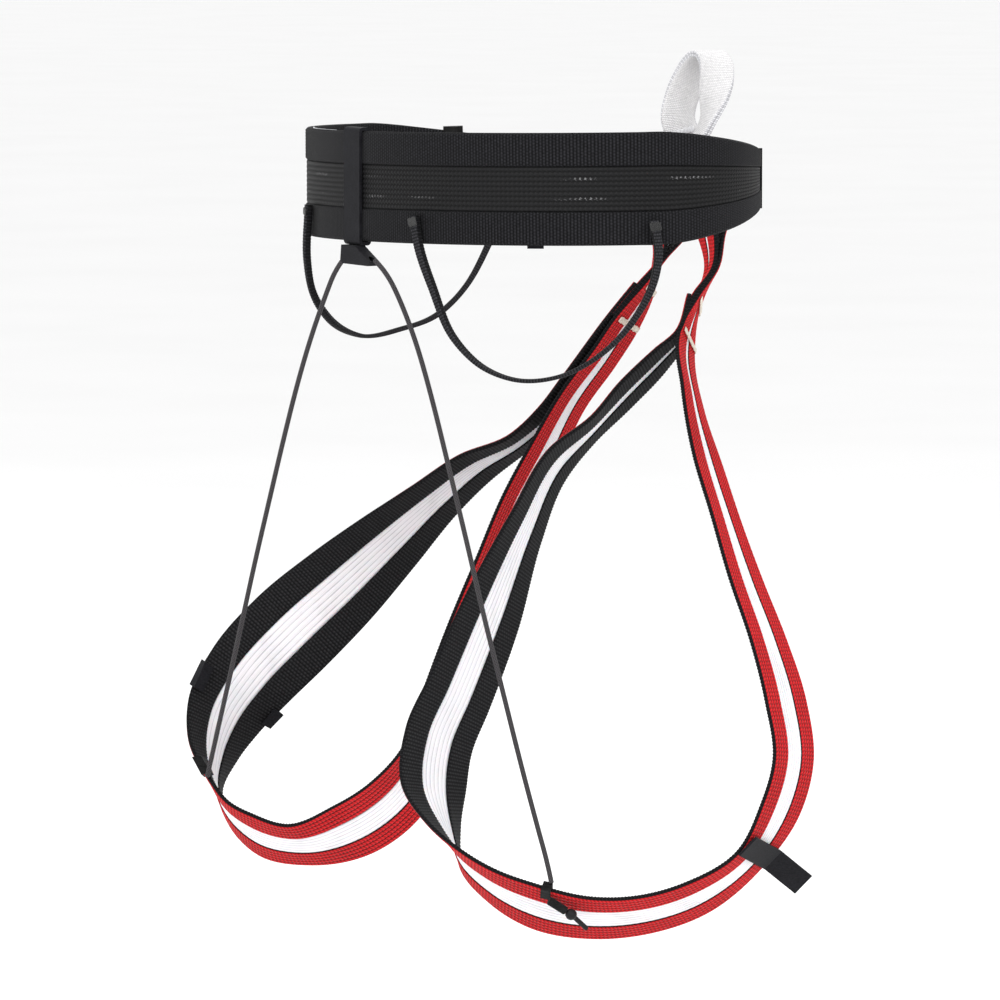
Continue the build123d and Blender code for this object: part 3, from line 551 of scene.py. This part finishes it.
def two_layer_section():
    """Two layers of thick webbing sewn face to face, with a groove between them at the edges."""
    section = Section()
    steps = 14
    for i in range(steps + 1):
        share = i / steps
        seam = min(abs(share - 0.27), abs(share - 0.73)) / 0.06
        dip = -0.28 * MM * max(0.0, 1 - seam)
        edge = -0.5 * MM * max(0.0, 1 - min(share, 1 - share) / 0.07) ** 2
        section.add(0.02 + share * 0.96, 1.0, dip + edge, OUTER, share)
    section.zone[-1] = EDGE
    for share, inset in ((0.75, 0.0), (0.55, 0.012), (0.5, 0.045), (0.45, 0.012), (0.25, 0.0)):
        section.add(1.0 - inset, share, 0.0, EDGE, 1.0)
    for i in range(steps + 1):
        share = 1 - i / steps
        seam = min(abs(share - 0.27), abs(share - 0.73)) / 0.06
        dip = -0.28 * MM * max(0.0, 1 - seam)
        edge = -0.5 * MM * max(0.0, 1 - min(share, 1 - share) / 0.07) ** 2
        section.add(0.02 + share * 0.96, 0.0, dip + edge, INNER, share)
    section.zone[-1] = EDGE
    for share, inset in ((0.25, 0.0), (0.45, 0.012), (0.5, 0.045), (0.55, 0.012), (0.75, 0.0)):
        section.add(inset, share, 0.0, EDGE, 0.0)
    return section


belay_strap = Strap("belay_loop", any_way, (-1, 0, 0), (0, 1, 0))
belay = weave("belay_webbing", belay_strap, two_layer_section(), 0.6 * MM, [pale, pale, pale_edge],
              "belay_loop", ribs=(0.12 * MM, 0.12 * MM))
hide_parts("belay_loop")

gear_section = weave_section(3, 0.3 * MM, 3, per_column=4, rim=0.1, crown=0.5)
for word, outward in (("right", (-0.26, 0.97, 0)), ("left", (0.27, 0.96, 0))):
    node = f"gear_loop_{word}"
    line = rail_chains(node).mean(axis=0)
    if any_way(line) < any_way(line[::-1]):
        line = line[::-1]
    lean = np.cross(outward, unit(line[1] - line[0]))
    strap = Strap(node, any_way, lean, outward)
    gear = weave(f"gear_tape_{word}", strap, gear_section, 0.75 * MM, [charcoal, charcoal, edge_black], node,
                 ribs=(0.22 * MM, 0.22 * MM))
    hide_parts(node)

strap_section = weave_section(6, 0.1 * MM, 6, per_column=2, crown=0.3)
for node, body_side in (("waist_strap", -1), ("buckle_anchor", 1)):
    strap = Strap(node, left_end_first, (0, 0, 1), (0.3 * body_side, -1, 0))
    tape = weave(f"{node}_tape", strap, strap_section, 0.8 * MM, [strap_black, strap_black, edge_black],
                 "waistbelt", ribs=(0.1 * MM, 0.1 * MM))
    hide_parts(node)


# ---- riser cords --------------------------------------------------------------------------
POCKET = Vector(((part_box("riser_pocket")[0][0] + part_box("riser_pocket")[1][0]) / 2,
                 (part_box("riser_pocket")[0][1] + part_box("riser_pocket")[1][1]) / 2,
                 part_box("riser_pocket")[0][2] + 2.9 * MM))
CORD_DIAMETER = 2.4 * MM
# x, and y and z from the pocket's own middle and cord height, in millimetres
CORD_RIGHT = [
    (-22, 0, 0), (-28.5, -2.5, -5), (-33, -8, -19), (-38.5, -14, -40), (-45, -19, -67),
    (-52, -24, -99), (-60, -29, -133), (-68, -34, -169), (-77, -39.5, -205),
    (-85, -45, -240), (-91, -50.5, -269), (-95, -54, -287), (-96.7, -55, -295.8),
]
CORD_LEFT = [
    (8, 0, 0), (14, 2, -6), (19, 5, -19), (27, 9, -40), (36, 12, -64), (46, 14.5, -92),
    (57, 16.5, -122), (68.5, 18, -151), (80, 19, -180), (92.5, 19.5, -209),
    (104.5, 20, -236), (112.5, 20.5, -255), (116, 21.5, -266),
]


def spline(name, points):
    """A NURBS curve with the points as its control points."""
    data = bpy.data.curves.new(name, "CURVE")
    data.dimensions = "3D"
    data.resolution_u = 12
    line = data.splines.new("NURBS")
    line.points.add(len(points) - 1)
    for knot, place in zip(line.points, points):
        knot.co = (*place, 1)
    line.order_u = 3
    line.use_endpoint_u = True
    made = bpy.data.objects.new(name, data)
    bpy.context.collection.objects.link(made)
    return made


def spline_path(name, points):
    """The points along a route's spline."""
    guide = spline(name, points)
    bpy.context.view_layer.update()
    flat = bpy.data.meshes.new_from_object(guide)
    path = [v.co.copy() for v in flat.vertices]
    bpy.data.objects.remove(guide)
    return path


def tube(name, path, radius, material, body, sides=14, step=0.8 * MM):
    """A round mesh tube along a path, with evenly spaced rings and UVs in turns and metres."""
    line = np.array(path)
    steps = np.linalg.norm(np.diff(line, axis=0), axis=1)
    keep = np.concatenate([[True], steps > 1e-7])
    line = line[keep]
    knots = np.concatenate([[0.0], np.cumsum(np.linalg.norm(np.diff(line, axis=0), axis=1))])
    at = np.linspace(0.0, knots[-1], max(int(knots[-1] / step), 2) + 1)
    line = through(line, knots, at)
    along = unit(np.gradient(line, axis=0))
    side = unit(np.cross(along[0], (0.3, 0.2, 0.9)))
    points, faces, uvs = [], [], []
    for place, forward in zip(line, along):
        side = unit(side - forward * np.dot(side, forward))
        up = np.cross(forward, side)
        for k in range(sides):
            turn = 2 * pi * k / sides
            points.append(tuple(place + radius * (cos(turn) * side + sin(turn) * up)))
    for r in range(len(line) - 1):
        for k in range(sides):
            nxt = (k + 1) % sides
            faces.append((r * sides + k, r * sides + nxt, (r + 1) * sides + nxt, (r + 1) * sides + k))
            low, high = k / sides, (k + 1) / sides
            uvs += [(low, at[r]), (high, at[r]), (high, at[r + 1]), (low, at[r + 1])]
    last = (len(line) - 1) * sides
    for ring in (tuple(range(sides - 1, -1, -1)), tuple(last + k for k in range(sides))):
        faces.append(ring)
        uvs += [(0.0, 0.0)] * sides
    made = mesh_object(name, points, faces, uvs, [0] * len(faces), [material], body)
    turned_right_way(made)
    return made


for word, route in (("right", CORD_RIGHT), ("left", CORD_LEFT)):
    points = [Vector((x * MM, POCKET.y + y * MM, POCKET.z + z * MM)) for x, y, z in route]
    path = spline_path(f"riser_route_{word}", points)
    sheath = tube(f"riser_sheath_{word}", path, CORD_DIAMETER / 2, cord_sheath, None)
    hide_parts(f"riser_cord_{word}")
    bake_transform(sheath)


# ---- stitches -----------------------------------------------------------------------------
THREAD_RADIUS = 0.22 * MM


def blocks(node):
    """The separate blocks of a node, as point clouds."""
    mesh = bmesh.new()
    mesh.from_mesh(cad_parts[node].data)
    bmesh.ops.remove_doubles(mesh, verts=mesh.verts, dist=2e-6)
    left, found = set(mesh.verts), []
    while left:
        cloud, edge = set(), {next(iter(left))}
        while edge:
            cloud |= edge
            edge = {e.other_vert(v) for v in edge for e in v.link_edges} - cloud
        left -= cloud
        found.append(np.array(sorted(tuple(v.co) for v in cloud)))
    mesh.free()
    return sorted(found, key=lambda c: tuple(c.mean(axis=0)))


def stitch(name, node, body, material, passes):
    """Dense zigzags of thread along each block of a node: short strokes laid side by side."""
    points, faces, uvs = [], [], []
    sides = 6
    for cloud in blocks(node):
        middle = cloud.mean(axis=0)
        spread, _, axes = np.linalg.svd(cloud - middle, full_matrices=False)[0:3]
        long, short, thin = axes
        reach = [np.abs((cloud - middle) @ axis).max() for axis in (long, short, thin)]
        for k in range(passes):
            place = middle + long * (reach[0] - THREAD_RADIUS) * (2 * (k + 0.5) / passes - 1)
            slant = long * (reach[0] / passes) * 0.55
            length = reach[1] * (0.80 + 0.2 * sin(k * 2.4) ** 2)
            base = len(points)
            rings = 7
            for r in range(rings):
                t = 2 * r / (rings - 1) - 1
                arch = thin * (reach[2] - THREAD_RADIUS) * (1 - t**2) * 0.9
                centre = place + short * length * t + slant * t - arch * 0
                swell = THREAD_RADIUS * 1.25 * (1 - 0.35 * t**4)
                for q in range(sides):
                    turn = 2 * pi * q / sides
                    points.append(tuple(centre + long * swell * cos(turn) + thin * (swell * sin(turn)) * 1.4))
            for r in range(rings - 1):
                for q in range(sides):
                    nxt = (q + 1) % sides
                    row, up = base + r * sides, base + (r + 1) * sides
                    faces.append((row + q, row + nxt, up + nxt, up + q))
                    uvs += [(q / sides, r), ((q + 1) / sides, r), ((q + 1) / sides, r + 1), (q / sides, r + 1)]
            last = base + (rings - 1) * sides
            for ring in (tuple(base + q for q in reversed(range(sides))), tuple(last + q for q in range(sides))):
                faces.append(ring)
                uvs += [(0.0, 0.0)] * sides
    made = mesh_object(name, points, faces, uvs, [0] * len(faces), [material], body)
    turned_right_way(made)
    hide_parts(node)


for word in ("right", "left"):
    stitch(f"leg_{word}_tack_thread", f"leg_{word}_bar_tacks", f"leg_{word}", cream_thread, 24)
    stitch(f"gear_{word}_tack_thread", f"gear_loop_tacks_{word}", f"gear_loop_{word}", black_thread,
           9)
stitch("belay_tack_thread", "belay_loop_bar_tacks", "belay_loop", white_thread, 18)


# ---- materials of the pieces that stay ----------------------------------------------------
for material, names in (
    (tape_black, ("belt_end_cover_left", "belt_end_cover_right", "tie_in_bar", "tie_in_lug_left",
                  "tie_in_lug_right")),
    (satin_black, ("riser_strap", "riser_pocket", "size_tab", "leg_right_tag", "leg_left_label")),
    (label_grey, ("care_label",)),
    (knit_black, ("strap_keeper", "riser_tab_right", "riser_tab_left", "riser_sleeve_right")),
    (cord_sheath, ("riser_knot_right",)),
    (grey_alloy, ("waist_buckle",)),
):
    for name in names:
        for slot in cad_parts[name].material_slots:
            slot.material = material


# ---- floor, light and camera --------------------------------------------------------------
TARGET = Vector((7, 13, -157)) * MM
AZIMUTH, ELEVATION, DISTANCE = radians(240.5), radians(5.8), 3.1
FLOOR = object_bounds()[0][2] - 120 * MM

bpy.ops.mesh.primitive_circle_add(vertices=96, radius=40, fill_type="NGON", location=(0, 0, FLOOR))
floor = bpy.context.object
floor.name = "floor"
plain = Look("pale floor", Roughness=0.9)
plain.colour(plain.ramp(plain.noise(3.0), (0.3, (0.93, 0.93, 0.93)), (0.7, (0.95, 0.95, 0.95))))
floor.data.materials.append(plain.material)

world = bpy.data.worlds.new("studio")
bpy.context.scene.world = world
world.use_nodes = True
world.node_tree.nodes["Background"].inputs["Color"].default_value = (1.0, 1.0, 1.0, 1)
world.node_tree.nodes["Background"].inputs["Strength"].default_value = 1.0


def area_light(name, azimuth, elevation, distance, size, power):
    """A soft square light that looks at the object from a direction."""
    data = bpy.data.lights.new(name, "AREA")
    data.size = size
    data.energy = power
    made = bpy.data.objects.new(name, data)
    a, e = radians(azimuth), radians(elevation)
    away = Vector((sin(a) * cos(e), -cos(a) * cos(e), sin(e)))
    made.location = TARGET + away * distance
    made.rotation_euler = away.to_track_quat("Z", "Y").to_euler()
    bpy.context.collection.objects.link(made)


area_light("key", 215, 45, 2.2, 1.2, 28)
area_light("fill", 285, 25, 2.4, 1.4, 12)
area_light("back", 60, 50, 2.4, 1.2, 14)

camera = bpy.data.objects.new("camera", bpy.data.cameras.new("camera"))
camera.data.lens = 226.8
camera.data.clip_end = 50
back = Vector((sin(AZIMUTH) * cos(ELEVATION), -cos(AZIMUTH) * cos(ELEVATION), sin(ELEVATION)))
camera.location = TARGET + back * DISTANCE
camera.rotation_euler = back.to_track_quat("Z", "Y").to_euler()
bpy.context.collection.objects.link(camera)
bpy.context.scene.camera = camera
bpy.context.scene.view_settings.view_transform = "Standard"
